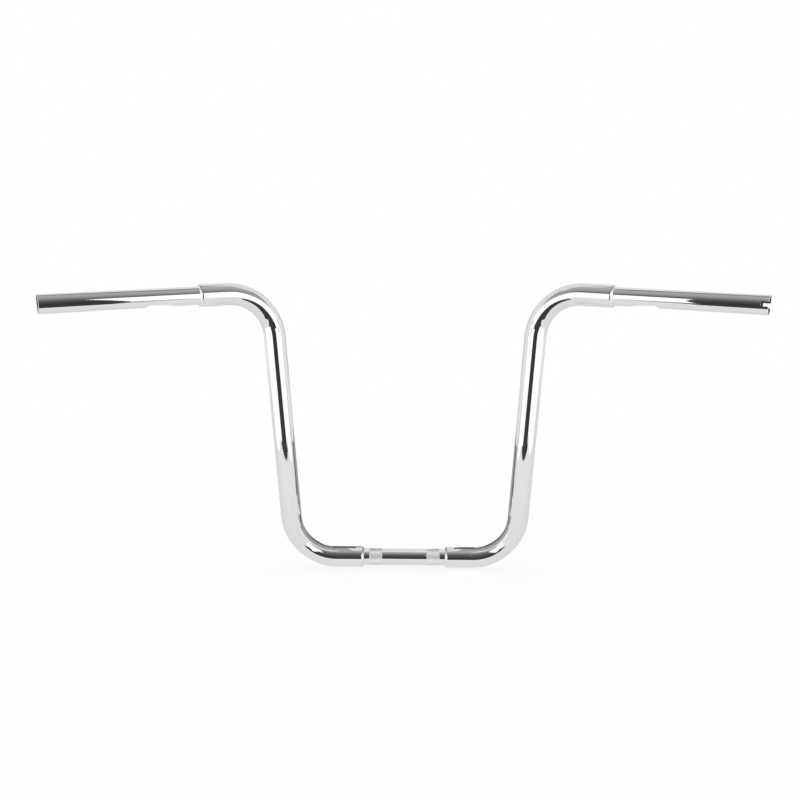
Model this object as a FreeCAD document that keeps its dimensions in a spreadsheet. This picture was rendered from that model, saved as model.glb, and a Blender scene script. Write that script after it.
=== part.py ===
import FreeCAD, Part
import math
import os

import Sketcher

# Tall stepped handlebar for a motorcycle. A bent large-diameter riser tube stands on
# each side. Smaller tubes are telescoped into the riser tubes' ends and welded there:
# one at the middle for the clamps, and one each side for the hand controls.
# Millimetres and degrees. Origin: centre of the clamp tube. +X is the rider's right,
# +Y is forward and +Z is up, with the bar as it is held on the motorcycle.

SIZES = [
    # tube sections
    ("thin_diameter", 25.4, "outside of the clamp and grip tubes, 1 inch"),
    ("thin_wall", 3.05, "wall of the clamp and grip tubes"),
    ("joint_clearance", 0.125, "radial gap of a thin tube inside a riser tube"),
    ("riser_wall", 3.05, "wall of the riser tubes, which come out 1-1/4 inch outside"),
    ("insertion", 34.0, "length of thin tube hidden inside a riser tube"),
    # route of the riser tubes, on their centre lines
    ("clamp_exposed", 133.0, "clamp tube that shows between the riser tubes"),
    ("lower_corner_reach", 171.0, "middle of the bar to the corner below the riser"),
    ("lean_out", 3.3, "riser away from square to the clamp tube"),
    ("riser_corner_length", 412.0, "lower corner to upper corner"),
    ("lower_bend_radius", 70.0, "centre line radius of the lower bend"),
    ("upper_bend_radius", 67.5, "centre line radius of the upper bend"),
    ("sweep_twist", 31.0, "plane of the upper bend, turned about the riser to the rider"),
    ("upper_bend_angle", 87.8, "turn of the tube through the upper bend"),
    ("left_upper_straight", 37.0, "left riser tube past its upper bend"),
    ("right_upper_straight", 41.0, "right riser tube past its upper bend"),
    ("lean_back", 12.6, "whole bar turned in its clamps towards the rider"),
    # clamp tube
    ("knurl_spacing", 88.9, "centre to centre of the knurled bands, 3-1/2 inch"),
    ("knurl_width", 20.5, "length of a knurled band"),
    ("knurl_rise", 0.2, "metal raised by rolling the knurl, on radius"),
    ("wire_hole_length", 20.0, "wire exit hole along the tube, end to end"),
    ("wire_hole_width", 10.0, "wire exit hole across the tube"),
    ("wire_hole_tilt", 45.0, "wire exit hole, down from square to the risers"),
    # grip tubes
    ("left_grip_exposed", 207.5, "left grip tube past its riser tube"),
    ("right_grip_exposed", 197.0, "right grip tube past its riser tube"),
    ("grip_roll", 9.2, "grip tube turned on its axis, which levels the notches"),
    ("end_chamfer", 0.8, "chamfer round the open end of a grip tube"),
    ("ream_diameter", 19.7, "reamed bore at the open end of a grip tube"),
    ("ream_depth", 76.0, "depth of the reamed bore, 3 inch"),
    ("dimple_from_end", 131.0, "open end to the wiring dimple"),
    ("dimple_outer_slope", 8.5, "run of the dimple's steep end"),
    ("dimple_floor", 25.0, "length of the dimple's floor"),
    ("dimple_inner_slope", 6.5, "run of the dimple's shallow end"),
    ("dimple_outer_depth", 3.4, "dimple's depth at its steep end"),
    ("dimple_inner_depth", 2.0, "dimple's depth at its shallow end"),
    ("notch_width", 6.35, "width of a throttle sensor notch, 1/4 inch"),
    ("notch_depth", 9.5, "depth of a throttle sensor notch, 3/8 inch"),
    # welds that dress each step
    ("weld_leg", 3.8, "length of the weld along the thin tube"),
    ("weld_crown_radius", 6.0, "radius of the weld's rounded face"),
    ("weld_penetration", 0.2, "depth the weld reaches into the thin tube"),
]

# Sizes that follow from the sheet's, as expressions on it.
THIN_RADIUS = "(sizes.thin_diameter / 2)"
BORE_RADIUS = "(sizes.thin_diameter / 2 - sizes.thin_wall)"
ROOT_RADIUS = "(sizes.thin_diameter / 2 - sizes.weld_penetration)"
SOCKET_RADIUS = "(sizes.thin_diameter / 2 + sizes.joint_clearance)"
RISER_RADIUS = "(sizes.thin_diameter / 2 + sizes.joint_clearance + sizes.riser_wall)"
KNURL_RADIUS = "(sizes.thin_diameter / 2 + sizes.knurl_rise)"
HALF_CLAMP = "(sizes.clamp_exposed / 2)"
HALF_RISER = "(sizes.riser_corner_length / 2)"
HALF_TUBE = "(sizes.clamp_exposed / 2 + sizes.insertion)"

# Frames on the right-hand side. LEAN turns the bar in its clamps. UPPER_CORNER has its
# Y axis up the riser line and its X axis in the plane of the upper bend.
LEAN = "placement(vector(0; 0; 0); rotation(vector(1; 0; 0); sizes.lean_back))"
LOWER_STEP = f"placement(vector({HALF_CLAMP}; 0; 0); rotation(180; 0; 0))"
RISER_POINT = (
    "vector(sizes.lower_corner_reach + {length} * sin(sizes.lean_out); 0;"
    " {length} * cos(sizes.lean_out))"
)
MID_RISER = (
    f"placement({RISER_POINT.format(length=HALF_RISER)};"
    " rotation(vector(0; 1; 0); sizes.lean_out))"
)
UPPER_CORNER = (
    f"placement({RISER_POINT.format(length='sizes.riser_corner_length')};"
    " rotation(vector(1; 0; 0); 90)"
    " * rotation(-sizes.lean_out; -sizes.sweep_twist; 0))"
)

# A sketch's normal, and Sketcher's numbers for a curve's points and the sketch's axes.
UP = FreeCAD.Vector(0, 0, 1)
START, END, CENTRE = range(1, 4)
X_AXIS, Y_AXIS = range(-1, -3, -1)
ORIGIN = (-1, 1)
# Closeness at which an edge counts as lying in a plane.
TOUCH = 1e-4

doc = FreeCAD.newDocument("handlebar")
sheet = doc.addObject("Spreadsheet::Sheet", "sizes")
for row, (alias, number, note) in enumerate(SIZES, start=1):
    sheet.set(f"A{row}", alias)
    sheet.set(f"B{row}", str(number))
    sheet.set(f"C{row}", note)
    sheet.setAlias(f"B{row}", alias)
doc.recompute()


def value(expression):
    """Number that an expression on the sheet comes to."""
    return float(sheet.evalExpression(expression))


def upper_step(side):
    """Frame at a riser tube's upper end: X out along the grip, Y forward, Z up."""
    reach = (
        "(sizes.upper_bend_radius * tan(sizes.upper_bend_angle / 2)"
        f" + sizes.{side}_upper_straight)"
    )
    place = (
        f"vector({reach} * sin(sizes.upper_bend_angle);"
        f" {reach} * cos(sizes.upper_bend_angle); 0)"
    )
    turn = (
        "rotation(90 - sizes.upper_bend_angle; 0; 0)"
        " * rotation(vector(1; 0; 0); -90 - sizes.grip_roll)"
    )
    return f"{LEAN} * {UPPER_CORNER} * placement({place}; {turn})"


def new_body(name, frame=None):
    """Body placed by a frame."""
    body = doc.addObject("PartDesign::Body", name)
    if frame:
        body.setExpression("Placement", frame)
    return body


def new_sketch(body, name, role, offset=None):
    """Sketch on one of the body's own origin planes."""
    sketch = body.newObject("Sketcher::SketchObject", name)
    plane = next(f for f in body.Origin.OriginFeatures if f.Role == role)
    sketch.AttachmentSupport = [(plane, "")]
    sketch.MapMode = "FlatFace"
    if offset:
        sketch.setExpression("AttachmentOffset", offset)
    return sketch


def bind(sketch, kind, *where, to):
    """Dimension of a sketch, bound to an expression on the sheet."""
    number = value(to)
    if kind == "Angle":
        number = math.radians(number)
    index = sketch.addConstraint(Sketcher.Constraint(kind, *where, number))
    sketch.setExpression(f"Constraints[{index}]", to)


def relate(sketch, kind, *where):
    """Relation between parts of a sketch."""
    sketch.addConstraint(Sketcher.Constraint(kind, *where))


def draw_circles(sketch, *radii):
    """Circles about the sketch's origin."""
    for radius in radii:
        circle = sketch.addGeometry(Part.Circle(FreeCAD.Vector(), UP, value(radius)))
        relate(sketch, "Coincident", circle, CENTRE, *ORIGIN)
        bind(sketch, "Radius", circle, to=radius)


def draw_line(sketch, start, end):
    """Straight line between two (x, y) points."""
    return sketch.addGeometry(
        Part.LineSegment(FreeCAD.Vector(*start, 0), FreeCAD.Vector(*end, 0))
    )


def draw_outline(sketch, corners):
    """Closed outline through corners given as expressions for x and y."""
    points = [(value(x), value(y)) for x, y in corners]
    lines = [draw_line(sketch, a, b) for a, b in zip(points, points[1:] + points[:1])]
    for line, last, (x, y) in zip(lines, lines[-1:] + lines[:-1], corners):
        relate(sketch, "Coincident", last, END, line, START)
        for kind, axis, to in (("DistanceX", Y_AXIS, x), ("DistanceY", X_AXIS, y)):
            if value(to) == 0:
                relate(sketch, "PointOnObject", line, START, axis)
            else:
                bind(sketch, kind, *ORIGIN, line, START, to=to)


def draw_arc(sketch, centre, radius, first, last):
    """Arc about an (x, y) point, counter-clockwise between two angles in degrees."""
    circle = Part.Circle(FreeCAD.Vector(*centre, 0), UP, radius)
    arc = Part.ArcOfCircle(circle, math.radians(first), math.radians(last))
    return sketch.addGeometry(arc)


def lower_route(body):
    """Centre line from the middle of the riser down round the bend to the clamp tube."""
    sketch = new_sketch(body, body.Name + "_lower_route", "XZ_Plane")
    lean = math.radians(value("sizes.lean_out"))
    reach = value("sizes.lower_corner_reach")
    radius = value("sizes.lower_bend_radius")
    tangent = radius * math.tan((math.pi / 2 - lean) / 2)
    middle = value(HALF_RISER)
    riser = draw_line(
        sketch,
        (reach + tangent * math.sin(lean), tangent * math.cos(lean)),
        (reach + middle * math.sin(lean), middle * math.cos(lean)),
    )
    bend = draw_arc(sketch, (reach - tangent, radius), radius, -90, -math.degrees(lean))
    foot = draw_line(sketch, (reach - tangent, 0), (value(HALF_CLAMP), 0))
    corner = sketch.addGeometry(Part.Point(FreeCAD.Vector(reach, 0, 0)), True)
    relate(sketch, "Tangent", riser, START, bend, END)
    relate(sketch, "Tangent", bend, START, foot, START)
    relate(sketch, "PointOnObject", foot, END, X_AXIS)
    relate(sketch, "PointOnObject", corner, START, X_AXIS)
    relate(sketch, "PointOnObject", corner, START, riser)
    relate(sketch, "Horizontal", foot)
    bind(sketch, "Radius", bend, to="sizes.lower_bend_radius")
    bind(sketch, "DistanceX", *ORIGIN, foot, END, to=HALF_CLAMP)
    bind(sketch, "DistanceX", *ORIGIN, corner, START, to="sizes.lower_corner_reach")
    bind(sketch, "Angle", riser, to="90 - sizes.lean_out")
    bind(sketch, "Distance", corner, START, riser, END, to=HALF_RISER)
    return sketch


def upper_route(body, side):
    """Centre line from the middle of the riser up round the bend to the grip tube."""
    sketch = new_sketch(body, body.Name + "_upper_route", "XY_Plane", UPPER_CORNER)
    straight = f"sizes.{side}_upper_straight"
    turn = math.radians(value("sizes.upper_bend_angle"))
    radius = value("sizes.upper_bend_radius")
    tangent = radius * math.tan(turn / 2)
    reach = tangent + value(straight)
    riser = draw_line(sketch, (0, -value(HALF_RISER)), (0, -tangent))
    bend = draw_arc(sketch, (radius, -tangent), radius, 180 - math.degrees(turn), 180)
    arm = draw_line(
        sketch,
        (tangent * math.sin(turn), tangent * math.cos(turn)),
        (reach * math.sin(turn), reach * math.cos(turn)),
    )
    relate(sketch, "PointOnObject", riser, START, Y_AXIS)
    relate(sketch, "Vertical", riser)
    relate(sketch, "Tangent", riser, END, bend, END)
    relate(sketch, "Tangent", bend, START, arm, START)
    relate(sketch, "PointOnObject", *ORIGIN, arm)
    bind(sketch, "DistanceY", riser, START, *ORIGIN, to=HALF_RISER)
    bind(sketch, "Radius", bend, to="sizes.upper_bend_radius")
    bind(sketch, "Angle", arm, to="90 - sizes.upper_bend_angle")
    bind(sketch, "Distance", arm, to=straight)
    return sketch


def riser_tube(side):
    """Riser tube with both its bends, swept each way from the middle of the riser."""
    body = new_body(f"{side}_riser_body", LEAN)
    section = new_sketch(body, f"{side}_riser_section", "XY_Plane", MID_RISER)
    draw_circles(section, RISER_RADIUS, SOCKET_RADIUS)
    for route in (lower_route(body), upper_route(body, side)):
        pipe = body.newObject("PartDesign::AdditivePipe", route.Name + "_tube")
        pipe.Profile = (section, [""])
        pipe.Spine = (route, [])
    return body


def shifted(x="0", y="0", z="0"):
    """Frame moved along its plane's own axes."""
    return f"placement(vector({x}; {y}; {z}); rotation(0; 0; 0))"


def pad_ring(body, name, place, length, radius):
    """Ring with the thin tubes' bore, its length centred at a place along X."""
    section = new_sketch(body, name + "_section", "YZ_Plane", shifted(z=place))
    draw_circles(section, radius, BORE_RADIUS)
    ring = body.newObject("PartDesign::Pad", name)
    ring.Profile = (section, [""])
    ring.SideType = "Symmetric"
    ring.setExpression("Length", length)


def draw_slot(sketch):
    """Round-ended slot about the sketch's origin, with its long way along X."""
    width = "sizes.wire_hole_width / 2"
    spread = "(sizes.wire_hole_length - sizes.wire_hole_width) / 2"
    radius, reach = value(width), value(spread)
    top = draw_line(sketch, (-reach, radius), (reach, radius))
    bottom = draw_line(sketch, (-reach, -radius), (reach, -radius))
    right = draw_arc(sketch, (reach, 0), radius, -90, 90)
    left = draw_arc(sketch, (-reach, 0), radius, 90, 270)
    relate(sketch, "Tangent", right, END, top, END)
    relate(sketch, "Tangent", left, START, top, START)
    relate(sketch, "Tangent", right, START, bottom, END)
    relate(sketch, "Tangent", left, END, bottom, START)
    relate(sketch, "Horizontal", top)
    relate(sketch, "PointOnObject", right, CENTRE, X_AXIS)
    bind(sketch, "Radius", right, to=width)
    bind(sketch, "DistanceX", *ORIGIN, right, CENTRE, to=spread)
    bind(sketch, "DistanceX", left, CENTRE, *ORIGIN, to=spread)


def clamp_tube():
    """Straight tube across the middle, with knurled bands and a wire exit hole."""
    turn = "placement(vector(0; 0; 0); rotation(vector(1; 0; 0); -sizes.wire_hole_tilt))"
    body = new_body("clamp_body", f"{LEAN} * {turn}")
    pad_ring(body, "clamp_core", "0", f"2 * {HALF_TUBE}", ROOT_RADIUS)
    between_welds = "(sizes.clamp_exposed - 2 * sizes.weld_leg)"
    pad_ring(body, "clamp_middle", "0", between_welds, THIN_RADIUS)
    hidden = f"({HALF_CLAMP} + sizes.insertion / 2)"
    for name, sign in (("left", "-"), ("right", "")):
        pad_ring(body, f"{name}_hidden", sign + hidden, "sizes.insertion", THIN_RADIUS)
        knurl_place = f"{sign}sizes.knurl_spacing / 2"
        pad_ring(body, f"{name}_knurl", knurl_place, "sizes.knurl_width", KNURL_RADIUS)
    outline = new_sketch(body, "wire_hole_outline", "XZ_Plane")
    draw_slot(outline)
    hole = body.newObject("PartDesign::Pocket", "wire_hole")
    hole.Profile = (outline, [""])
    hole.setExpression("Length", KNURL_RADIUS)
    return body


def grip_rod(side, name, stretches, rise):
    """Solid rod the length of a grip tube, pressed in from below at the dimple.

    Each stretch is (name, start, length, radius), measured along X from the step.
    The press is raised by the wall for the rod that hollows the tube, so the wall
    is whole where the dimple is.
    """
    body = new_body(f"{side}_{name}", upper_step(side))
    for stretch, start, length, radius in stretches:
        place = shifted(z=start)
        section = new_sketch(body, f"{body.Name}_{stretch}_section", "YZ_Plane", place)
        draw_circles(section, radius)
        rod = body.newObject("PartDesign::Pad", f"{body.Name}_{stretch}")
        rod.Profile = (section, [""])
        rod.setExpression("Length", length)
    near_end = f"sizes.{side}_grip_exposed - sizes.dimple_from_end"
    outline = new_sketch(
        body, body.Name + "_dimple_outline", "XZ_Plane", shifted(x=near_end, y=rise)
    )
    slope_end = "-sizes.dimple_outer_slope"
    floor_end = slope_end + " - sizes.dimple_floor"
    far_end = floor_end + " - sizes.dimple_inner_slope"
    draw_outline(
        outline,
        [
            ("0", f"-2 * {THIN_RADIUS}"),
            ("0", f"-{THIN_RADIUS}"),
            (slope_end, f"sizes.dimple_outer_depth - {THIN_RADIUS}"),
            (floor_end, f"sizes.dimple_inner_depth - {THIN_RADIUS}"),
            (far_end, f"-{THIN_RADIUS}"),
            (far_end, f"-2 * {THIN_RADIUS}"),
        ],
    )
    cut_across(body, body.Name + "_dimple", outline)
    return body


def cut_across(body, name, outline):
    """Pocket right across a tube, to both sides of its outline."""
    pocket = body.newObject("PartDesign::Pocket", name)
    pocket.Profile = (outline, [""])
    pocket.SideType = "Symmetric"
    pocket.setExpression("Length", "2 * sizes.thin_diameter")


def chamfer_end(body, side):
    """Chamfer round the open end of a grip tube."""
    doc.recompute()
    rod = body.Tip
    end = value(f"sizes.{side}_grip_exposed")
    rim = [
        f"Edge{number}"
        for number, edge in enumerate(rod.Shape.Edges, start=1)
        if abs(edge.BoundBox.XMin - end) < TOUCH and abs(edge.BoundBox.XMax - end) < TOUCH
    ]
    chamfer = body.newObject("PartDesign::Chamfer", f"{side}_end_chamfer")
    chamfer.Base = (rod, rim)
    chamfer.setExpression("Size", "sizes.end_chamfer")


def grip_tube(side, notched):
    """Grip tube with its dimple and, on the throttle side, the two sensor notches."""
    exposed = f"sizes.{side}_grip_exposed"
    whole = ("-sizes.insertion", f"sizes.insertion + {exposed}")
    outside = grip_rod(
        side,
        "grip_outside",
        [
            ("core", *whole, ROOT_RADIUS),
            ("hidden", "-sizes.insertion", "sizes.insertion", THIN_RADIUS),
            ("open", "sizes.weld_leg", f"{exposed} - sizes.weld_leg", THIN_RADIUS),
        ],
        "0",
    )
    chamfer_end(outside, side)
    if notched:
        end = shifted(x=exposed)
        outline = new_sketch(outside, f"{side}_notch_outline", "XZ_Plane", end)
        half = "sizes.notch_width / 2"
        draw_outline(
            outline,
            [
                ("sizes.notch_depth", f"-{half}"),
                ("sizes.notch_depth", half),
                ("-sizes.notch_depth", half),
                ("-sizes.notch_depth", f"-{half}"),
            ],
        )
        cut_across(outside, f"{side}_notches", outline)
    tube = doc.addObject("Part::Cut", f"{side}_grip")
    tube.Base = outside
    tube.Tool = grip_rod(
        side,
        "grip_bore",
        [
            ("rod", *whole, BORE_RADIUS),
            (
                "ream",
                f"{exposed} - sizes.ream_depth",
                "sizes.ream_depth",
                "sizes.ream_diameter / 2",
            ),
        ],
        "sizes.thin_wall",
    )
    return tube


def step_weld(name, frame):
    """Dressed weld that fills the step from a riser tube's end to the thin tube.

    Its root reaches a little way into the thin tube all along the weld.
    """
    body = new_body(name, frame)
    sketch = new_sketch(body, name + "_section", "XZ_Plane")
    root, low, high = value(ROOT_RADIUS), value(THIN_RADIUS), value(RISER_RADIUS)
    leg, crown = value("sizes.weld_leg"), value("sizes.weld_crown_radius")
    # centre of the crown: square to the chord of the weld's face, on the metal's side
    chord = math.hypot(leg, high - low)
    depth = math.sqrt(crown**2 - chord**2 / 4)
    centre_x = leg / 2 - depth * (high - low) / chord
    centre_y = (low + high) / 2 - depth * leg / chord
    first = math.degrees(math.atan2(low - centre_y, leg - centre_x))
    last = math.degrees(math.atan2(high - centre_y, -centre_x))
    step = draw_line(sketch, (0, root), (0, high))
    base = draw_line(sketch, (leg, root), (0, root))
    toe = draw_line(sketch, (leg, low), (leg, root))
    face = draw_arc(sketch, (centre_x, centre_y), crown, first, last)
    relate(sketch, "Coincident", base, END, step, START)
    relate(sketch, "Coincident", step, END, face, END)
    relate(sketch, "Coincident", face, START, toe, START)
    relate(sketch, "Coincident", toe, END, base, START)
    relate(sketch, "PointOnObject", step, START, Y_AXIS)
    relate(sketch, "Vertical", step)
    relate(sketch, "Vertical", toe)
    relate(sketch, "Horizontal", base)
    bind(sketch, "DistanceY", *ORIGIN, step, START, to=ROOT_RADIUS)
    bind(sketch, "DistanceY", *ORIGIN, step, END, to=RISER_RADIUS)
    bind(sketch, "DistanceY", *ORIGIN, toe, START, to=THIN_RADIUS)
    bind(sketch, "Distance", base, to="sizes.weld_leg")
    bind(sketch, "Radius", face, to="sizes.weld_crown_radius")
    weld = body.newObject("PartDesign::Revolution", name + "_ring")
    weld.Profile = (sketch, [""])
    axis = next(f for f in body.Origin.OriginFeatures if f.Role == "X_Axis")
    weld.ReferenceAxis = (axis, [""])
    return body


def mirrored(source):
    """Left-hand piece from the same piece built on the right."""
    mirror = doc.addObject("Part::Mirroring", source.Name + "_mirror")
    mirror.Source = source
    mirror.Normal = FreeCAD.Vector(1, 0, 0)
    return mirror


pieces = {"centre_clamp_tube": clamp_tube()}
for side in ("left", "right"):
    built = {
        f"{side}_riser_tube": riser_tube(side),
        f"{side}_grip_tube": grip_tube(side, notched=side == "right"),
        f"{side}_lower_weld": step_weld(f"{side}_lower", f"{LEAN} * {LOWER_STEP}"),
        f"{side}_upper_weld": step_weld(f"{side}_upper", upper_step(side)),
    }
    if side == "left":
        built = {name: mirrored(piece) for name, piece in built.items()}
    pieces.update(built)
for name, piece in pieces.items():
    piece.Label = name
doc.recompute()

for thing in doc.Objects:
    if "Invalid" in thing.State or "Error" in thing.State:
        raise RuntimeError(f"{thing.Name} did not compute: {thing.State}")
for name, piece in pieces.items():
    if piece.Shape.isNull() or not piece.Shape.isValid():
        raise RuntimeError(f"{name} has no sound shape")

os.makedirs("parts", exist_ok=True)
for name, piece in pieces.items():
    piece.Shape.exportStep(f"parts/{name}.step")
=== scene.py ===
import math

import bmesh
import bpy
import numpy as np
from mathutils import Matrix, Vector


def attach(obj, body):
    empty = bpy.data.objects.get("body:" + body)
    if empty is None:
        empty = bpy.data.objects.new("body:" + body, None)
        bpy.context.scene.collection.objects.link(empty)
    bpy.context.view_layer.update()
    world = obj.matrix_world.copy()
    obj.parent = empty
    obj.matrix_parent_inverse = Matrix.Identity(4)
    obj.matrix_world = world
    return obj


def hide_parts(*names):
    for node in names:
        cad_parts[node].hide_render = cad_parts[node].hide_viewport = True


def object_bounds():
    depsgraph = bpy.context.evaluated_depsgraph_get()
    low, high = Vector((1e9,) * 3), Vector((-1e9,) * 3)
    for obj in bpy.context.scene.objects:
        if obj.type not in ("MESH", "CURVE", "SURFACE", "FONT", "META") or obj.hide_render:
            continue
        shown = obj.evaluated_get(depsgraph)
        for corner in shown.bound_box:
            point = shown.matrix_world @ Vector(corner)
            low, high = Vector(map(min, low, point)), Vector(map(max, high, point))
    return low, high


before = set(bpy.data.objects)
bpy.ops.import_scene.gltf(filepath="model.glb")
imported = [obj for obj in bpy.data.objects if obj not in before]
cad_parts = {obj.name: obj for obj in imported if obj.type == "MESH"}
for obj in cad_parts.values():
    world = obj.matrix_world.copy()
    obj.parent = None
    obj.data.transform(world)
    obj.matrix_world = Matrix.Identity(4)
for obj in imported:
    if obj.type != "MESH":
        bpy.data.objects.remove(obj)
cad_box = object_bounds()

# Chromed stepped handlebar: two bent riser tubes with slimmer tubes telescoped into
# their ends, one across the middle for the clamps and one out each side for the grips.
# Shapes are worked out in millimetres and put into the meshes in metres.
# +X is the rider's right, +Y is forward and +Z is up.

MM = 0.001
SIDES = {"left": -1.0, "right": 1.0}

# tube sections, on radius. INNER_EDGE is that of the tube ends inside the risers.
THIN = 12.7
BORE = 9.65
SOCKET = 12.825
RISER = 15.875
INNER_EDGE = 12.1
# route of the riser tubes
HALF_CLAMP = 66.5
INSERTION = 34.0
CORNER_REACH = 171.0
CORNER_TO_CORNER = 412.0
LEAN_OUT = math.radians(3.3)
LEAN_BACK = math.radians(12.6)
TWIST = math.radians(31.0)
UPPER_TURN = math.radians(87.8)
LOWER_TURN = math.radians(90.0) - LEAN_OUT
LOWER_RADIUS = 70.0
UPPER_RADIUS = 67.5
UPPER_STRAIGHT = {"left": 37.0, "right": 41.0}
BEND_PRESS = 0.05
# grip tubes: open end, notch across the right one, and wiring dimple. The end's flat face
# lies between two radii. Outside, a short corner and a chamfer lead to it.
GRIP_LENGTH = {"left": 207.5, "right": 197.0}
GRIP_ROLL = math.radians(9.2)
END_GAP = 0.47
END_FACE = (12.35, 10.2)
END_CORNER = 12.45
END_CORNER_LENGTH = 0.05
END_CHAMFER_LENGTH = 0.33
REAM = 9.85
REAM_DEPTH = 76.0
NOTCH_DEPTH = 9.5
HALF_NOTCH = 3.175
DIMPLE_START = 131.0
DIMPLE_RUNS = (8.5, 25.0, 6.5)
DIMPLE_DEPTHS = (3.4, 2.0)
DIMPLE_CORNER = 0.5
DIMPLE_EDGE = 0.35
# clamp tube: knurled bands and wire exit slot
KNURL_TOP = 12.9
KNURL_FLOOR = 12.58
KNURL_BAND = (34.2, 54.7)
DIAMONDS_LONG = 17
DIAMONDS_ROUND = 66
SLOT_HALF_LENGTH = 10.0
SLOT_HALF_WIDTH = 5.0
SLOT_TURN = math.radians(45.0)
# grid round the slot: steps from its middle to its outline, and out each way in all,
# how far it reaches along the tube, and how far it then takes to turn even
SLOT_STEPS = 16
SLOT_ROWS = 28
SLOT_COLUMNS = 29
SLOT_REACH = 18.0
SLOT_FADE = 12.0
HAIR = 1e-6
# welds at the steps
ROOT = 12.5
WELD_LEG = 3.8
CROWN = 4.5
BEADS = 72
BEAD_DIP = 0.12


# ---------------------------------------------------------------- directions


def unit(vector):
    """A vector shortened to length one."""
    vector = np.asarray(vector, float)
    return vector / np.linalg.norm(vector)


def turned(vector, axis, angle):
    """A vector turned about a unit axis, one row for each angle.

    v cos a + (axis x v) sin a + axis (axis . v) (1 - cos a)
    """
    vector, axis = np.asarray(vector, float), np.asarray(axis, float)
    angle = np.atleast_1d(angle)[:, None]
    return (
        vector * np.cos(angle)
        + np.cross(axis, vector) * np.sin(angle)
        + axis * (axis @ vector) * (1 - np.cos(angle))
    )


def eased(t):
    """Smooth step from 0 to 1: 3 t^2 - 2 t^3, held outside 0 to 1."""
    t = np.clip(t, 0.0, 1.0)
    return t * t * (3 - 2 * t)


def headings(side):
    """Directions of one side of the bar: up the riser, out along the grip, and down.

    The riser leans out by LEAN_OUT. The grip comes from turning it by UPPER_TURN in a
    plane that is twisted back about the riser, and the whole bar leans back in its
    clamps. Down is square to the grip, from the inside of the bend, turned by GRIP_ROLL.
    """
    riser = np.array([math.sin(LEAN_OUT), 0.0, math.cos(LEAN_OUT)])
    square = np.array([math.cos(LEAN_OUT), 0.0, -math.sin(LEAN_OUT)])
    outward = turned(square, riser, -TWIST)[0]
    grip = riser * math.cos(UPPER_TURN) + outward * math.sin(UPPER_TURN)
    axis = unit(np.cross(riser, grip))
    down = np.cross(axis, grip) * math.cos(GRIP_ROLL) - axis * math.sin(GRIP_ROLL)
    mirror = np.array([SIDES[side], 1.0, 1.0])
    return [turned(v, [1.0, 0.0, 0.0], LEAN_BACK)[0] * mirror for v in (riser, grip, down)]


# ---------------------------------------------------------------- centre lines


def centre_line(start, along, across, runs):
    """Stations of a centre line, with a frame carried along it without twist.

    runs are (length, rows, radius, axis): a straight run where radius is None, and an
    arc about a unit axis otherwise. On an arc the point is
    start + radius sin a * along + radius (1 - cos a) * inward.
    Returns point, along, across, beside, inward and travel, one row for each station.
    inward points to the centre of the bend. Its length is 1 in the bend, and eases to 0
    over a share of the arc at each end.
    """
    end_share = 0.35
    point, along, across = (np.asarray(v, float) for v in (start, along, across))
    travel = 0.0
    kept = []
    for length, rows, radius, axis in runs:
        t = np.linspace(0.0, 1.0, rows + 1)
        if radius is None:
            points = point + along * (t * length)[:, None]
            frames = [np.repeat(v[None], rows + 1, 0) for v in (along, across)]
            inward = np.zeros((rows + 1, 3))
        else:
            angle = t * length / radius
            centre = point + radius * np.cross(axis, along)
            points = centre + turned(point - centre, axis, angle)
            frames = [turned(v, axis, angle) for v in (along, across)]
            length_in = eased(np.minimum(t, 1 - t) / end_share)
            inward = np.cross(axis, frames[0]) * length_in[:, None]
        kept.append([points, *frames, inward, travel + t * length])
        point, along, across = points[-1], frames[0][-1], frames[1][-1]
        travel += length
    points, along, across, inward, travel = (
        np.concatenate([run[k][: None if run is kept[-1] else -1] for run in kept])
        for k in range(5)
    )
    return {
        "point": points,
        "along": along,
        "across": across,
        "beside": np.cross(along, across),
        "inward": inward,
        "travel": travel,
    }


def straight_line(start, along, across, places):
    """Stations at given places on one straight line."""
    places = np.asarray(places, float)
    along, across = unit(along), unit(across)
    row = np.ones((len(places), 1))
    return {
        "point": np.asarray(start, float) + along * places[:, None],
        "along": along * row,
        "across": across * row,
        "beside": np.cross(along, across) * row,
        "inward": 0 * row * along,
        "travel": places,
    }


def picked(line, rows):
    """The stations of a line in another order, for a profile that goes out and back."""
    return {key: values[rows] for key, values in line.items()}


def rings(line, radius, angle, press=0.0, slide=0.0):
    """Points of a tube's surface, one ring for each station.

    point + radius (cos a * across + sin a * beside), then pressed towards the middle of
    the tube in the plane of a bend by the share press, and swollen square to it by a
    quarter of that. slide moves points along the tube. Also returns where each point
    would be if the tube were straight.
    """
    shape = (len(line["point"]), np.shape(angle)[-1])
    radius, angle, slide = (np.broadcast_to(v, shape) for v in (radius, angle, slide))
    out = radius[..., None] * (
        np.cos(angle)[..., None] * line["across"][:, None]
        + np.sin(angle)[..., None] * line["beside"][:, None]
    )
    inward = line["inward"][:, None]
    amount = np.linalg.norm(inward, axis=-1, keepdims=True)
    plane = inward / np.maximum(amount, 1e-9)
    square = np.cross(line["along"][:, None], plane)
    out = (
        out
        - plane * (out * plane).sum(-1, keepdims=True) * amount * press
        + square * (out * square).sum(-1, keepdims=True) * amount * press * 0.25
    )
    points = line["point"][:, None] + out + line["along"][:, None] * slide[..., None]
    travel = line["travel"][:, None] + slide
    return points, np.stack([radius * np.cos(angle), radius * np.sin(angle), travel], -1)


# ---------------------------------------------------------------- meshes

SHARP_EDGE = math.radians(38.0)
MERGE_GAP = 1e-7


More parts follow.
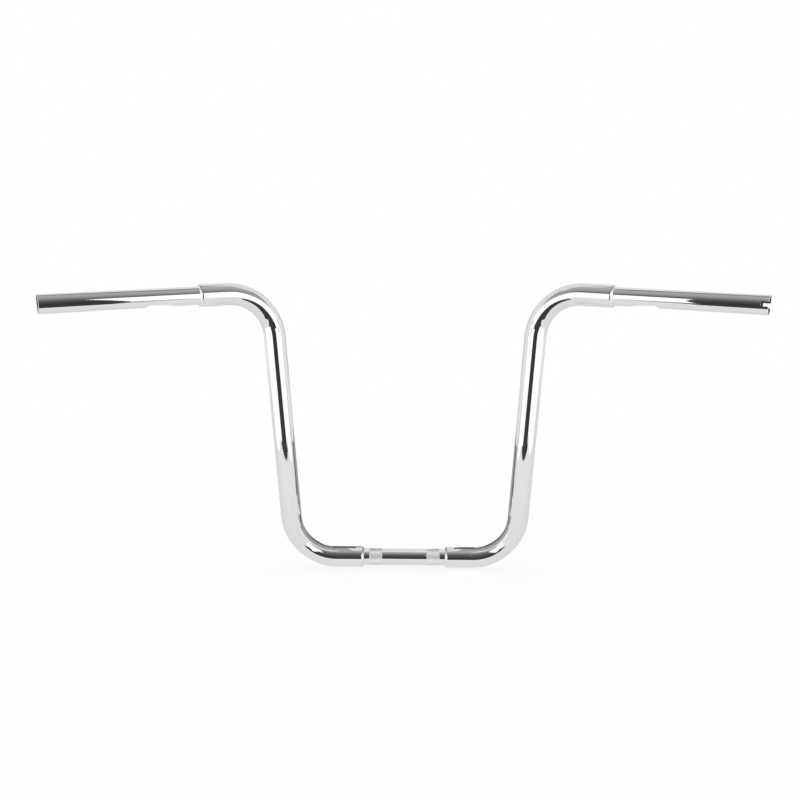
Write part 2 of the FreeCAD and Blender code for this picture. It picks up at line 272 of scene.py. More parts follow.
def ring_faces(rows, columns, heights=None):
    """Faces of a grid that closes on itself both ways, as a ring of rings.

    With heights given, each square is split along its lower diagonal.
    """
    i, j = (v.ravel() for v in np.meshgrid(range(rows), range(columns), indexing="ij"))
    down, right = (i + 1) % rows, (j + 1) % columns
    corners = np.stack(
        [i * columns + j, i * columns + right, down * columns + right, down * columns + j],
        -1,
    )
    if heights is None:
        return corners
    height = heights.ravel()[corners]
    first = height[:, 0] + height[:, 2] <= height[:, 1] + height[:, 3]
    a = np.where(first[:, None], corners[:, [0, 1, 2]], corners[:, [1, 2, 3]])
    b = np.where(first[:, None], corners[:, [0, 2, 3]], corners[:, [1, 3, 0]])
    return np.stack([a, b], 1).reshape(-1, 3)


def in_scene(name, data):
    """A new object for a mesh or a camera, put into the scene."""
    made = bpy.data.objects.new(name, data)
    bpy.context.scene.collection.objects.link(made)
    return made


def piece(name, points, unbent, faces, finishes, finish=0, flat=None, merge=False):
    """A mesh piece in metres, at the origin, with its place in its points.

    unbent is where each point would be if the tube were straight, kept for the
    finishes. finish is the number of each face's finish, flat marks the faces whose
    facets show, and merge joins points that meet.
    """
    mesh = bpy.data.meshes.new(name)
    mesh.vertices.add(points.size // 3)
    mesh.vertices.foreach_set("co", (points * MM).astype(np.float32).ravel())
    corners_each = faces.shape[1]
    mesh.loops.add(faces.size)
    mesh.loops.foreach_set("vertex_index", faces.astype(np.int32).ravel())
    mesh.polygons.add(len(faces))
    mesh.polygons.foreach_set(
        "loop_start", np.arange(0, faces.size, corners_each, dtype=np.int32)
    )
    mesh.update(calc_edges=True)
    route = mesh.attributes.new("unbent", "FLOAT_VECTOR", "POINT")
    route.data.foreach_set("vector", (unbent * MM).astype(np.float32).ravel())
    for material in finishes:
        mesh.materials.append(material)
    finish = np.broadcast_to(finish, len(faces)).astype(np.int32)
    mesh.polygons.foreach_set("material_index", finish)
    mesh.validate()
    if merge:
        work = bmesh.new()
        work.from_mesh(mesh)
        bmesh.ops.remove_doubles(work, verts=work.verts, dist=MERGE_GAP)
        bmesh.ops.dissolve_degenerate(work, edges=work.edges, dist=MERGE_GAP)
        work.to_mesh(mesh)
        work.free()
    smooth = np.ones(len(mesh.polygons), bool)
    if flat is not None:
        smooth &= ~flat
    mesh.polygons.foreach_set("use_smooth", smooth)
    mesh.set_sharp_from_angle(angle=SHARP_EDGE)
    return in_scene(name, mesh)


# ---------------------------------------------------------------- finishes


class Value:
    """One socket of a node tree. Sums and products on it add Math nodes."""

    def __init__(self, finish, socket):
        self.finish, self.socket = finish, socket

    def maths(self, operation, *values):
        """One Math node on some values."""
        return self.finish.node(
            "ShaderNodeMath", {"operation": operation}, dict(enumerate(values))
        )

    def __add__(self, other):
        return self.maths("ADD", self, other)

    def __radd__(self, other):
        return self.maths("ADD", other, self)

    def __sub__(self, other):
        return self.maths("SUBTRACT", self, other)

    def __rsub__(self, other):
        return self.maths("SUBTRACT", other, self)

    def __mul__(self, other):
        return self.maths("MULTIPLY", self, other)

    def __rmul__(self, other):
        return self.maths("MULTIPLY", other, self)

    def __pow__(self, other):
        return self.maths("POWER", self, other)

    def rise(self, low, high):
        """Smooth climb from 0 to 1 while the value goes from low to high."""
        return self.finish.node(
            "ShaderNodeMapRange",
            {"interpolation_type": "SMOOTHSTEP"},
            {"Value": self, "From Min": low, "From Max": high},
        )


class Finish:
    """The node tree of a material or of the world."""

    def __init__(self, owner):
        owner.use_nodes = True
        self.owner, self.tree = owner, owner.node_tree
        self.tree.nodes.clear()

    def node(self, kind, settings=None, inputs=None, out=0):
        """One node: its settings first, then the values or links of its sockets."""
        made = self.tree.nodes.new(kind)
        for key, setting in (settings or {}).items():
            if key == "stops":
                ramp = made.color_ramp
                for place, _ in setting[2:]:
                    ramp.elements.new(place)
                for stop, (place, colour) in zip(ramp.elements, setting):
                    stop.position, stop.color = place, (*colour, 1.0)
            else:
                setattr(made, key, setting)
        for key, given in (inputs or {}).items():
            if isinstance(given, Value):
                self.tree.links.new(given.socket, made.inputs[key])
            else:
                made.inputs[key].default_value = given
        return Value(self, made.outputs[out]) if made.outputs else None

    def blend(self, amount, first, second):
        """Colour between two colours, which go into a Mix node's sockets 6 and 7."""
        return self.node(
            "ShaderNodeMix",
            {"data_type": "RGBA"},
            {"Factor": amount, 6: first, 7: second},
            out=2,
        )

    def split(self, vector):
        """The three numbers of a vector."""
        first = self.node("ShaderNodeSeparateXYZ", {}, {"Vector": vector})
        return [Value(self, socket) for socket in first.socket.node.outputs]

    def along_tube(self, stretch=(1.0, 1.0, 1.0)):
        """Place on the unbent tube, in metres, stretched for a pattern."""
        route = self.node("ShaderNodeAttribute", {"attribute_name": "unbent"}, out="Vector")
        return self.node(
            "ShaderNodeMapping", {}, {"Vector": route, "Scale": stretch}
        )

    def speckle(self, where, scale, detail, roughness):
        """Soft random pattern from 0 to 1."""
        return self.node(
            "ShaderNodeTexNoise",
            {},
            {"Vector": where, "Scale": scale, "Detail": detail, "Roughness": roughness},
        )

    def relief(self, height, depth, over=None):
        """Normal bent by a height pattern of a given depth in metres."""
        inputs = {"Strength": 1.0, "Distance": depth, "Height": height}
        if over is not None:
            inputs["Normal"] = over
        return self.node("ShaderNodeBump", {}, inputs)

    def surface(self, shader):
        """The finished material or world, with this shader."""
        kind = "World" if isinstance(self.owner, bpy.types.World) else "Material"
        self.node("ShaderNodeOutput" + kind, {}, {"Surface": shader})
        return self.owner

    def metal(self, colour, rough, normal):
        """The finished material, as metal."""
        shader = self.node(
            "ShaderNodeBsdfPrincipled",
            {},
            {"Base Color": colour, "Metallic": 1.0, "Roughness": rough, "Normal": normal},
        )
        return self.surface(shader)


def grey(shade):
    """Grey from black at 0 to white at 1, with alpha."""
    return (shade, shade, shade, 1.0)


# colours of plate and steel
BRIGHT_PLATE, CLOUDED_PLATE = (0.78, 0.79, 0.787, 1), (0.75, 0.76, 0.758, 1)
# knurl colours: the valleys darker as painted shade in the grooves, the crests lighter as painted
# highlight
VALLEY_SHADE_PLATE, CREST_HIGHLIGHT_PLATE = (0.70, 0.71, 0.705, 1), (0.90, 0.91, 0.905, 1)
BEAD_PLATE, PITTED_PLATE = (0.79, 0.80, 0.81, 1), (0.66, 0.665, 0.67, 1)
DRAWN_STEEL, STAINED_STEEL = (0.34, 0.335, 0.33, 1), (0.17, 0.15, 0.135, 1)


def polished_chrome():
    """Bright chrome plate over belt-polished steel.

    Broad ripples of the tube under the plate, fine polishing lines along the tube, and
    a faint uneven haze that lifts the roughness.
    """
    finish = Finish(bpy.data.materials.new("polished_chrome"))
    haze = finish.speckle(finish.along_tube((1, 1, 0.35)), 42.0, 4.0, 0.6)
    lines = finish.speckle(finish.along_tube((1, 1, 0.012)), 2600.0, 2.0, 0.7)
    ripple = finish.speckle(finish.along_tube((1, 1, 0.6)), 48.0, 1.0, 0.4)
    tone = finish.speckle(finish.along_tube((1, 1, 0.5)), 14.0, 3.0, 0.5)
    return finish.metal(
        finish.blend(tone.rise(0.35, 0.7), BRIGHT_PLATE, CLOUDED_PLATE),
        0.028 + 0.05 * haze.rise(0.45, 0.8) + 0.02 * lines,
        finish.relief(lines, 6e-7, finish.relief(ripple, 3e-5)),
    )


def knurled_chrome():
    """Chrome over rolled knurling: rougher in the valleys and smoother on the crests, its colour
    darker in the valleys as painted shade and lighter on the crests as painted highlight.
    """
    finish = Finish(bpy.data.materials.new("knurled_chrome"))
    place = finish.along_tube()
    x, y, _ = finish.split(place)
    radius = (x * x + y * y) ** 0.5
    crest = radius.rise(KNURL_FLOOR * MM + 2e-5, KNURL_TOP * MM - 2e-5)
    grain = finish.speckle(place, 3000.0, 2.0, 0.6)
    return finish.metal(
        # painted shade in the valleys and painted highlight on the crests
        finish.blend(crest, VALLEY_SHADE_PLATE, CREST_HIGHLIGHT_PLATE),
        0.30 - 0.12 * crest + 0.06 * grain,
        finish.relief(grain, 4e-6),
    )


def dressed_weld():
    """Weld bead dressed smooth and plated, with a fine grain and a few dull pits."""
    finish = Finish(bpy.data.materials.new("dressed_weld"))
    place = finish.along_tube()
    grain = finish.speckle(place, 900.0, 3.0, 0.6)
    pits = finish.speckle(place, 350.0, 1.0, 0.5)
    return finish.metal(
        finish.blend(pits.rise(0.5, 0.75), BEAD_PLATE, PITTED_PLATE),
        0.07 + 0.12 * grain,
        finish.relief(grain, 2e-5),
    )


def drawn_bore():
    """Bare drawn steel inside the tubes: grey, with draw lines and patches of stain."""
    finish = Finish(bpy.data.materials.new("drawn_bore"))
    lines = finish.speckle(finish.along_tube((1, 1, 0.02)), 1500.0, 3.0, 0.6)
    stain = finish.speckle(finish.along_tube((1, 1, 0.4)), 90.0, 4.0, 0.65)
    return finish.metal(
        finish.blend(stain.rise(0.35, 0.7), DRAWN_STEEL, STAINED_STEEL),
        0.38 + 0.2 * lines + 0.1 * stain,
        finish.relief(lines, 1e-5),
    )


CHROME = polished_chrome()
KNURL = knurled_chrome()
WELD = dressed_weld()
INSIDE = drawn_bore()


# ---------------------------------------------------------------- tubes


def around(columns):
    """Even angles round a tube."""
    return np.arange(columns) * (2 * math.pi / columns)


def at(radius, places):
    """Profile points of one radius at some places along a tube."""
    return [(place, radius) for place in places]


def soft_least(a, b, reach):
    """Lesser of two lengths, with the corner between them rounded off below both."""
    gap = np.clip(1 - np.abs(a - b) / reach, 0.0, 1.0)
    return np.minimum(a, b) - gap * gap * reach / 4


def riser_line(side):
    """Centre line of a riser tube, from the clamp tube's step to the grip tube's."""
    riser, grip, _ = headings(side)
    start_heading = np.array([SIDES[side], 0.0, 0.0])
    lower_axis = unit(np.cross(start_heading, riser))
    upper_axis = unit(np.cross(riser, grip))
    lower_tangent = LOWER_RADIUS * math.tan(LOWER_TURN / 2)
    upper_tangent = UPPER_RADIUS * math.tan(UPPER_TURN / 2)
    end_rows, bend_rows, middle_rows = 6, 72, 36
    runs = [
        (CORNER_REACH - lower_tangent - HALF_CLAMP, end_rows, None, None),
        (LOWER_RADIUS * LOWER_TURN, bend_rows, LOWER_RADIUS, lower_axis),
        (CORNER_TO_CORNER - lower_tangent - upper_tangent, middle_rows, None, None),
        (UPPER_RADIUS * UPPER_TURN, bend_rows, UPPER_RADIUS, upper_axis),
        (UPPER_STRAIGHT[side], end_rows, None, None),
    ]
    return centre_line(HALF_CLAMP * start_heading, start_heading, lower_axis, runs)


def grip_start(side):
    """Where a grip tube comes out of its riser tube."""
    return riser_line(side)["point"][-1]


def riser_tube(side):
    """Bent riser tube: its outside one way, and its socket back the other way.

    Bending presses the tube a little flat in the plane of each bend.
    """
    line = riser_line(side)
    last = len(line["point"]) - 1
    rows = np.r_[0 : last + 1, last : -1 : -2]
    outer = np.arange(len(rows)) <= last
    radius = np.where(outer, RISER, SOCKET)[:, None]
    angle = around(128)
    points, unbent = rings(picked(line, rows), radius, angle, press=BEND_PRESS)
    faces = ring_faces(len(rows), len(angle))
    inside = np.repeat(~outer, len(angle))
    return piece(f"{side}_riser_tube_look", points, unbent, faces, [CHROME, INSIDE], inside)


def dimple_depth(from_end):
    """Depth of the wiring dimple by distance from the open end.

    Least of three slopes, one for each of DIMPLE_RUNS: in from nothing to the first
    depth, a floor that rises to the second, and out from the second to nothing.
    """
    deep, shallow = DIMPLE_DEPTHS
    run_in, run_floor, run_out = DIMPLE_RUNS
    x = from_end - DIMPLE_START
    slope_in = deep * x / run_in
    floor = deep - (deep - shallow) * (x - run_in) / run_floor
    slope_out = shallow * (sum(DIMPLE_RUNS) - x) / run_out
    least = soft_least(soft_least(slope_in, floor, DIMPLE_CORNER), slope_out, DIMPLE_CORNER)
    return np.maximum(least, 0.0)


def pressed(radius, depth, angle):
    """Tube pressed by a flat tool from below: lesser of r and (r - depth) / cos a."""
    facing = np.maximum(np.cos(angle), 0.05)
    unpressed = np.full_like(depth * angle, radius)
    return soft_least(unpressed, (radius - depth) / facing, DIMPLE_EDGE)


def grip_tube(side):
    """Slim tube held in the riser: out along its outside, and back along its bore.

    Columns run in four groups: the bottom, the front or back, the top, and the other
    one. The notch's edges stand at arcsin(half width / r) from the middles of the front
    and back on both walls, so they are straight. Between them, no ring goes past the
    notch's floor.
    """
    length = GRIP_LENGTH[side]
    mouth = length - END_GAP
    dimple = length - DIMPLE_START
    pressing = np.arange(dimple - sum(DIMPLE_RUNS) - 2.0, dimple + 2.01, 0.5)
    outside = (
        at(THIN, (-INSERTION + 0.6, -INSERTION / 2, 0.0))
        + at(ROOT, (0.0, WELD_LEG))
        + at(THIN, np.linspace(WELD_LEG, pressing[0] - 0.5, 6))
        + at(THIN, pressing)
        + at(THIN, np.linspace(dimple + 3.0, length - NOTCH_DEPTH - 0.5, 14))
        + at(THIN, (length - NOTCH_DEPTH, mouth - END_CHAMFER_LENGTH))
        + at(END_CORNER, [mouth - END_CORNER_LENGTH])
    )
    inside = (
        [(mouth, radius) for radius in END_FACE]
        + at(REAM, [mouth - END_CHAMFER_LENGTH])
        + at(REAM, np.linspace(length - NOTCH_DEPTH, length - REAM_DEPTH, 9))
        + at(BORE, np.linspace(length - REAM_DEPTH - 0.4, dimple + 3.0, 5))
        + at(BORE, pressing[::-1])
        + at(BORE, np.linspace(pressing[0] - 2.0, -INSERTION, 8))
        + at(INNER_EDGE, [-INSERTION])
    )
    place, radius = np.array(outside + inside).T[:, :, None]
    edge = np.arcsin(HALF_NOTCH / radius)
    wide, narrow = np.linspace(-1, 1, 81), np.linspace(-1, 1, 17)
    bottom = wide * (math.pi / 2 - edge)
    beside = math.pi / 2 + narrow * edge
    angle = np.concatenate([bottom, beside, bottom + math.pi, beside + math.pi], 1)
    in_notch = np.tile(np.repeat([False, True], [len(wide), len(narrow)]), 2)
    depth = dimple_depth(length - place)
    radius = np.where(depth > 0, pressed(radius, depth, angle), radius)
    notch_floor = length - NOTCH_DEPTH if side == "right" else length
    slide = np.where(in_notch, np.minimum(place, notch_floor), place) - place
    _, grip, down = headings(side)
    line = straight_line(grip_start(side), grip, down, place[:, 0])
    points, unbent = rings(line, radius, angle, slide=slide)
    rows, columns = angle.shape
    faces = ring_faces(rows, columns)
    bore = np.repeat(np.arange(rows) >= len(outside), columns)
    name = f"{side}_grip_tube_look"
    return piece(name, points, unbent, faces, [CHROME, INSIDE], bore, merge=True)


def knurl_height(across, along):
    """Height of diamond knurling, from 0 in its grooves to 1 on its points.

    1 - 2 times the greater distance of u + v and of u - v from a whole number.
    """
    p, q = across + along, across - along
    return 1 - 2 * np.maximum(np.abs(p - np.round(p)), np.abs(q - np.round(q)))


def slot_shift(x, w):
    """How far a grid moves to fit the round-ended slot, and how many slots out a point is.

    The slot's box is pushed onto its outline: past the middles of the round ends, a
    point goes to SLOT_HALF_WIDTH from the nearer middle. The push fades out over a
    share of the slot's size.
    """
    fade_share = 0.7
    out = np.maximum(np.abs(x) / SLOT_HALF_LENGTH, np.abs(w) / SLOT_HALF_WIDTH)
    safe = np.maximum(out, HAIR)
    box_x, box_w = x / safe, w / safe
    middle = SLOT_HALF_LENGTH - SLOT_HALF_WIDTH
    past = np.maximum(np.abs(box_x) - middle, 0.0)
    spread = np.maximum(np.hypot(past, box_w), HAIR)
    in_end = past > 0
    round_x = np.where(in_end, np.sign(box_x) * (middle + past * SLOT_HALF_WIDTH / spread), box_x)
    round_w = np.where(in_end, box_w * SLOT_HALF_WIDTH / spread, box_w)
    push = 1 - eased((out - 1) / fade_share)
    return (round_x - box_x) * push, (round_w - box_w) * push, out


def slot_wall(outside, inside, x, w):
    """Faces of the slot's wall, between its rims on the outside and in the bore.

    Both rims are put in order by their direction from the middle of the slot.
    """
    loops = []
    for rim in (outside, inside):
        row, column = np.nonzero(rim)
        direction = np.arctan2(w[column] / SLOT_HALF_WIDTH, x[row] / SLOT_HALF_LENGTH)
        loops.append((row * len(w) + column)[np.argsort(direction)])
    outer, inner = loops
    next_outer, next_inner = np.roll(outer, -1), np.roll(inner, -1)
    halves = [(outer, inner, next_inner), (outer, next_inner, next_outer)]
    return np.concatenate([np.stack(half, 1) for half in halves])


def clamp_profile():
    """Profile of the clamp tube: out along its outside, and back along its bore.

    Returns the points on the outside, and those in the bore.
    """
    end = HALF_CLAMP + INSERTION
    toe = HALF_CLAMP - WELD_LEG
    slot_rows = np.arange(-SLOT_ROWS, SLOT_ROWS + 1) * (SLOT_HALF_LENGTH / SLOT_STEPS)
    right = (
        at(THIN, (19.5, 22.0, 25.0, 28.0, 31.0))
        + at(THIN, np.linspace(*KNURL_BAND, 4 * DIAMONDS_LONG + 1))
        + at(THIN, (toe - 4.0, toe))
        + at(ROOT, (toe, HALF_CLAMP))
        + at(THIN, (HALF_CLAMP, end - 16.5, end - 0.6))
        + at(INNER_EDGE, [end])
    )
    back = at(BORE, (end, 80.0, 60.0, 45.0, 34.0, 28.0, 24.0, 20.5))
    outside = [(-x, r) for x, r in right[::-1]] + at(THIN, slot_rows) + right
    inside = back + at(BORE, slot_rows[::-1]) + [(-x, r) for x, r in back[::-1]]
    return outside, inside


def clamp_tube():
    """Straight clamp tube with two knurled bands and the wire exit slot.

    Angle 0 is the middle of the slot. Near the slot, columns are evenly spaced across
    it, and away from it evenly round the tube, where four columns make one diamond.
    """
    outside, inside = clamp_profile()
    rows = len(outside + inside)
    columns = 4 * DIAMONDS_ROUND
    half = columns // 2
    place, radius = np.array(outside + inside).T[:, :, None]
    outer = np.arange(rows)[:, None] < len(outside)
    count = np.arange(columns) - half
    step = SLOT_HALF_WIDTH / SLOT_STEPS
    across = count * step
    from_middle = np.abs(place)

    regular = count * (2 * math.pi / columns)
    close_columns = np.abs(count) <= SLOT_COLUMNS
    last = np.arcsin(SLOT_COLUMNS * step / radius)
    rest = last + (np.abs(count) - SLOT_COLUMNS) * (math.pi - last) / (half - SLOT_COLUMNS)
    straight = np.arcsin(np.clip(across / radius, -1, 1))
    near = np.where(close_columns, straight, np.sign(count) * rest)
    angle = near + (regular - near) * eased((from_middle - SLOT_REACH) / SLOT_FADE)

    move_x, move_w, out = slot_shift(place, across)
    close = close_columns & (from_middle < SLOT_REACH)
    shifted = np.arcsin(np.clip((across + move_w) / radius, -1, 1))
    angle = np.where(close, shifted, angle)
    slide = np.where(close, move_x, 0.0)

    band_start, band_end = KNURL_BAND
    knurled = outer & (from_middle > band_start - HAIR) & (from_middle < band_end + HAIR)
    turn = (from_middle - band_start) * (DIAMONDS_LONG / (band_end - band_start))
    height = knurl_height(count / 4, turn)
    fade = eased(np.minimum(turn, DIAMONDS_LONG - turn) * 2)
    relief = KNURL_FLOOR + (KNURL_TOP - KNURL_FLOOR) * height - THIN
    radius = np.where(knurled, THIN + relief * fade, radius)

    down = SLOT_TURN - LEAN_BACK
    facing = [0.0, math.cos(down), -math.sin(down)]
    line = straight_line([0, 0, 0], [1, 0, 0], facing, place[:, 0])
    points, unbent = rings(line, radius, angle, slide=slide)

    faces = ring_faces(rows, columns, heights=np.broadcast_to(radius, (rows, columns)))
    row = np.repeat(np.arange(rows), 2 * columns)
    finishes = [CHROME, KNURL, INSIDE]
    plain, knurl, bore = range(3)
    finish = np.where(row >= len(outside) - 1, bore, plain)
    in_band = knurled[:, 0] & np.roll(knurled[:, 0], -1)
    finish[in_band[row]] = knurl

    hole = close & (out < 1 + HAIR)
    rim = hole & (out > 1 - HAIR)
    kept = ~hole.ravel()[faces].all(1)
    wall = slot_wall(rim & outer, rim & ~outer, place[:, 0], across)
    faces = np.concatenate([faces[kept], wall])
    finish = np.concatenate([finish[kept], np.full(len(wall), bore)])
    name = "centre_clamp_tube_look"
    return piece(name, points, unbent, faces, finishes, finish, flat=finish == knurl)


def step_weld(name, start, along, across):
    """Weld ring that dresses a step: a rounded face from the riser to the slim tube.

    The face is an arc of radius CROWN through the riser's edge and the weld's toe. It
    dips by up to BEAD_DIP in the ripples of the bead, (1 - cos(BEADS a - bow (t - 1/2)^2)) / 2,
    which bow across the face and fade at both edges.
    """
    drop = RISER - THIN
    chord = math.hypot(WELD_LEG, drop)
    depth = math.sqrt(CROWN**2 - chord**2 / 4)
    centre_s = WELD_LEG / 2 - depth * drop / chord
    centre_r = (THIN + RISER) / 2 - depth * WELD_LEG / chord
    first = math.atan2(RISER - centre_r, -centre_s)
    last = math.atan2(THIN - centre_r, WELD_LEG - centre_s)
    edge_share, bow = 0.3, 20.0
    t = np.linspace(0.0, 1.0, 17)[:, None]
    lean = first + (last - first) * t
    angle = around(4 * BEADS)
    bead = 0.5 - 0.5 * np.cos(BEADS * angle - bow * (t - 0.5) ** 2)
    dip = BEAD_DIP * bead * eased(np.minimum(t, 1 - t) / edge_share)
    face_s = centre_s + (CROWN - dip) * np.cos(lean)
    face_r = centre_r + (CROWN - dip) * np.sin(lean)
    flat = np.ones_like(angle)
    s = np.concatenate([face_s, [WELD_LEG * flat, 0 * flat]])
    radius = np.concatenate([face_r, [ROOT * flat, ROOT * flat]])
    line = straight_line(start, along, across, np.zeros(len(s)))
    points, unbent = rings(line, radius, angle, slide=s)
    return piece(f"{name}_look", points, unbent, ring_faces(*s.shape), [WELD])


def fit(made, node):
    """A piece stands for its CAD node, which it hides, and rides on the bar."""
    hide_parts(node)
    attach(made, "root")


fit(clamp_tube(), "centre_clamp_tube")
for side in SIDES:
    _, grip, down = headings(side)
    outward = np.array([SIDES[side], 0.0, 0.0])
    fit(riser_tube(side), f"{side}_riser_tube")
    fit(grip_tube(side), f"{side}_grip_tube")
    lower = step_weld(f"{side}_lower_weld", HALF_CLAMP * outward, -outward, [0, 0, 1])
    fit(lower, f"{side}_lower_weld")
    upper = step_weld(f"{side}_upper_weld", grip_start(side), grip, down)
    fit(upper, f"{side}_upper_weld")


# ---------------------------------------------------------------- studio

# heights and depths of the studio, in metres. Its front is the camera's side, towards -Y.
TABLE_TOP = -0.236
GROUND = -0.9
CEILING_HEIGHT = 0.883
CORNER_HEIGHT = CEILING_HEIGHT + 0.0005
OVERHEAD_HEIGHT = CEILING_HEIGHT - 0.005
FRONT = -2.6
BACK = 2.0
FLOOR_REACH = 9.0
FLOOR_GAP = 0.0004
# how far the camera sees the floor as plain white. The rest of it keeps the shadow.
FLOOR_GLOW = 0.82
CAMERA_PLACE = (0.017011, -1.199074, 0.244369)
CAMERA_TURN = (90.0372, -0.245, 1.1925)
CAMERA_LENS = 34.522


def oblong(x0, y0, x1, y1):
    """Outline of a rectangle, from two opposite corners."""
    return [(x0, y0), (x1, y0), (x1, y1), (x0, y1)]


def level(height, outline):
    """Corners of a level card."""
    return [(x, y, height) for x, y in outline]


def upright(foot, low, high):
    """Corners of an upright card over a straight foot line, its foot as its first edge."""
    (x0, y0), (x1, y1) = foot
    return [(x0, y0, low), (x1, y1, low), (x1, y1, high), (x0, y0, high)]


def across_bend(spots, ahead=0.0):
    """Corners on an upright plane that stands slantwise inside the right lower bend.

    A spot is (out, height), with out measured along the plane from its end nearest the
    middle of the bar. The plane is moved ahead towards the bend.
    """
    along = unit([0.052, -0.062])
    start = np.array([0.108, -0.026]) + ahead * np.array([-along[1], along[0]])
    return [(*(start + out * along), height) for out, height in spots]


def even(brightness):
    """Stops of a card that is equally bright all over."""
    return [(0.0, brightness), (1.0, brightness)]


def sheet_of(name, corners, material):
    """Flat stage piece, its corners in metres."""
    mesh = bpy.data.meshes.new(name)
    mesh.from_pydata(corners, [], [range(len(corners))])
    layer = mesh.uv_layers.new(name="face")
    layer.data.foreach_set("uv", np.resize([0.0, 0, 1, 0, 1, 1, 0, 1], 2 * len(corners)))
    mesh.materials.append(material)
    made = in_scene(name, mesh)
    return made


def card(name, corners, stops):
    """Studio card that only polished metal sees.

    Its brightness runs from its first edge to its third through stops of
    (spot, brightness).
    """
    finish = Finish(bpy.data.materials.new(name))
    _, v, _ = finish.split(finish.node("ShaderNodeUVMap", {"uv_map": "face"}))
    most = max(brightness for _, brightness in stops)
    ramp = finish.node(
        "ShaderNodeValToRGB",
        {"stops": [(spot, (brightness / most,) * 3) for spot, brightness in stops]},
        {"Fac": v},
    )
    glow = finish.node("ShaderNodeEmission", {}, {"Color": ramp, "Strength": most})
    made = sheet_of(name, corners, finish.surface(glow))
    made.visible_camera = False
    made.visible_diffuse = False
    made.visible_transmission = False
    made.visible_shadow = False


def white_room():
    """World at the strength where white is white."""
    world = bpy.data.worlds.new("white_room")
    bpy.context.scene.world = world
    finish = Finish(world)
    finish.surface(
        finish.node("ShaderNodeBackground", {}, {"Color": grey(1.0), "Strength": 1.0})
    )


def pale_floor(height):
    """White floor close under the bar, which keeps a soft part of its shadow.

    It can be looked through from below, and the metal sees the white room instead.
    """
    finish = Finish(bpy.data.materials.new("pale_floor"))
    matt = finish.node("ShaderNodeBsdfDiffuse", {}, {"Color": grey(0.96)})
    glow = finish.node("ShaderNodeEmission", {}, {"Color": grey(1.0), "Strength": 1.0})
    clear = finish.node("ShaderNodeBsdfTransparent")
    camera_ray = finish.node("ShaderNodeLightPath", out="Is Camera Ray")
    seen = finish.node(
        "ShaderNodeMixShader", {}, {0: FLOOR_GLOW * camera_ray, 1: matt, 2: glow}
    )
    from_below = finish.node("ShaderNodeNewGeometry", out="Backfacing")
    shader = finish.node("ShaderNodeMixShader", {}, {0: from_below, 1: seen, 2: clear})
    outline = oblong(-FLOOR_REACH, -FLOOR_REACH, FLOOR_REACH, FLOOR_REACH)
    made = sheet_of("floor", level(height, outline), finish.surface(shader))
    made.visible_glossy = False


def studio_camera():
    """Camera in front of the risers, a little to the right and turned back to the bar."""
    data = bpy.data.cameras.new("camera")
    data.sensor_width = 36.0
    data.lens = CAMERA_LENS
    camera = in_scene("camera", data)
    camera.location = CAMERA_PLACE
    camera.rotation_euler = [math.radians(turn) for turn in CAMERA_TURN]
    bpy.context.scene.camera = camera


BRIGHT = even(1.34)
DARK = even(0.05)
DIM = [(0.0, 0.08), (1.0, 0.1)]

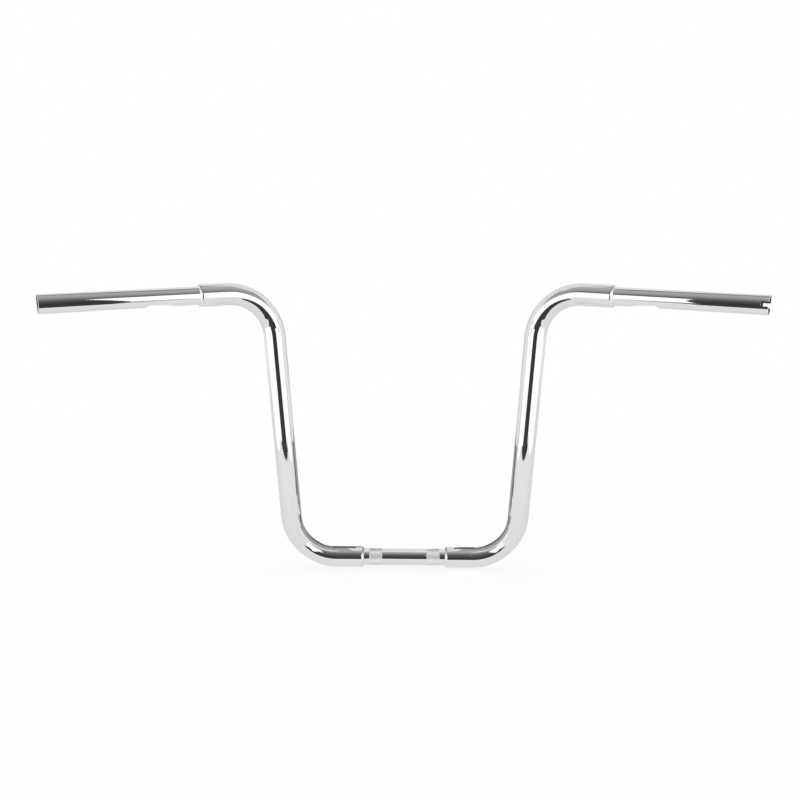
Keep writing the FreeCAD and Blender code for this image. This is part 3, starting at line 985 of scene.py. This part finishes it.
# the room: a white table with a dark drop in front of it, walls, a graded ceiling, a flag
# beyond the middle of the bar, and bright panels with dark feet at the front corners
ROOM_CARDS = {
    "table": (
        level(TABLE_TOP, oblong(-3.0, -0.765, 3.0, BACK)),
        [(0.0, 0.975), (0.08, 0.96), (0.16, 0.925), (0.28, 0.9), (0.45, 0.84), (1.0, 0.8)],
    ),
    "dark_beyond": (level(GROUND, oblong(-4.0, FRONT, 4.0, -0.5)), DARK),
    "front_wall": (
        upright([(-4.0, FRONT), (4.0, FRONT)], GROUND, CEILING_HEIGHT),
        [(0.0, 0.05), (0.37, 0.037), (0.62, 0.074), (1.0, 0.069)],
    ),
    "ceiling": (
        level(CEILING_HEIGHT, oblong(-0.965, FRONT, 1.059, 0.95)),
        [
            (0.0, 0.086),
            (0.254, 0.125),
            (0.423, 0.139),
            (0.521, 0.259),
            (0.586, 0.382),
            (0.634, 0.480),
            (0.670, 0.460),
            (0.690, 0.300),
            (0.712, 0.250),
            (0.724, 0.920),
            (1.0, 0.920),
        ],
    ),
    "ceiling_corner_left": (
        level(CORNER_HEIGHT, [(-1.9, -2.61), (-0.95, -2.61), (-0.95, -1.7), (-1.1, -1.83)]),
        DIM,
    ),
    "ceiling_corner_right": (
        level(CORNER_HEIGHT, [(1.04, -2.61), (2.0, -2.61), (1.2, -1.83), (1.04, -1.7)]),
        DIM,
    ),
    "overhead": (
        level(OVERHEAD_HEIGHT, oblong(-0.19, -0.22, 0.19, 1.2)),
        [(0.0, 0.480), (0.04, 0.820), (0.12, 0.900), (1.0, 0.850)],
    ),
    "back_wall": (upright([(-3.0, BACK), (3.0, BACK)], TABLE_TOP, 3.0), even(0.85)),
    # glowing sheet just behind and above the middle of the bar that lights nothing: a painted
    # reflection of light and dark bands in the chrome
    "middle_flag": (
        [(0.017, y, z) for y, z in ((-0.01, 0.05), (-0.01, 0.15), (0.28, 0.2), (0.28, 0.0))],
        [
            (0.0, 0.45),
            (0.08, 0.15),
            (0.18, 0.12),
            (0.28, 0.45),
            (0.5, 0.5),
            (0.65, 0.2),
            (1.0, 0.2),
        ],
    ),
    "side_panel_right": (
        [
            (0.396, -0.874, -0.311),
            (1.354, -0.152, -0.507),
            (1.354, -0.152, 0.7),
            (0.2, -1.022, 0.7),
            (0.182, -1.0355, 0.655),
        ],
        BRIGHT,
    ),
    "side_panel_left": (
        [
            (-0.442, -0.937, -0.346),
            (-1.367, -0.111, -0.46),
            (-1.367, -0.111, 0.64),
            (-0.329, -1.037, 0.64),
        ],
        BRIGHT,
    ),
    "foot_right": (
        [
            (0.380, -0.882, -0.36),
            (0.495, -0.798, -0.36),
            (0.495, -0.798, -0.215),
            (0.380, -0.882, -0.285),
        ],
        DARK,
    ),
    "foot_left": (
        [
            (-0.433, -0.942, -0.38),
            (-0.633, -0.763, -0.38),
            (-0.633, -0.763, -0.243),
            (-0.433, -0.942, -0.303),
        ],
        DARK,
    ),
}

# cards on both sides of the bar, given for the right and mirrored for the left: one at
# the back, four inside the lower bend, one beside the upper bend and one under the grip
# the cards inside the lower bend, beside the upper bend and under the grip are glowing sheets
# close to the bar that light nothing: they are painted reflections, light and dark bands in the
# chrome
SIDE_CARDS = {
    "back_flag": (upright([(0.2, 1.9), (0.5, 1.9)], 0.35, 1.6), DARK),
    "bend_card": (
        across_bend(
            [
                (0.090, -0.060),
                (0.060, -0.008),
                (0.056, 0.006),
                (0.012, 0.033),
                (0.010, 0.045),
                (-0.020, 0.052),
                (-0.020, 0.085),
                (0.090, 0.075),
            ]
        ),
        even(0.93),
    ),
    "bend_light": (
        across_bend(
            [(0.038, 0.008), (0.026, 0.017), (0.014, 0.031), (0.017, 0.039), (0.034, 0.026)],
            ahead=0.0005,
        ),
        BRIGHT,
    ),
    "bend_shade": (
        level(0.05, [(0.082, -0.02), (0.118, -0.02), (0.124, 0.012), (0.094, 0.012)]),
        [(0.0, 0.45), (1.0, 0.42)],
    ),
    "bend_line": (
        level(0.05, oblong(0.079, 0.012, 0.135, 0.045)),
        [(0.0, 0.14), (1.0, 0.12)],
    ),
    "spear_flag": (
        level(
            0.345,
            [
                (0.203, -0.146),
                (0.201, -0.132),
                (0.206, -0.112),
                (0.196, -0.116),
                (0.191, -0.098),
                (0.178, -0.100),
                (0.160, -0.118),
                (0.148, -0.142),
                (0.140, -0.172),
                (0.165, -0.169),
                (0.190, -0.158),
            ],
        ),
        DARK,
    ),
    "grip_flag": (
        level(
            0.28,
            [
                (0.385, -0.339),
                (0.415, -0.295),
                (0.317, -0.257),
                (0.281, -0.262),
                (0.180, -0.232),
                (0.178, -0.240),
                (0.268, -0.282),
                (0.289, -0.297),
            ],
        ),
        DARK,
    ),
}

white_room()
pale_floor(cad_box[0].z - FLOOR_GAP)
for name, (corners, stops) in ROOM_CARDS.items():
    card(name, corners, stops)
for side, turn in SIDES.items():
    for name, (corners, stops) in SIDE_CARDS.items():
        card(f"{name}_{side}", [(turn * x, y, z) for x, y, z in corners], stops)
studio_camera()
bpy.context.scene.view_settings.view_transform = "Standard"
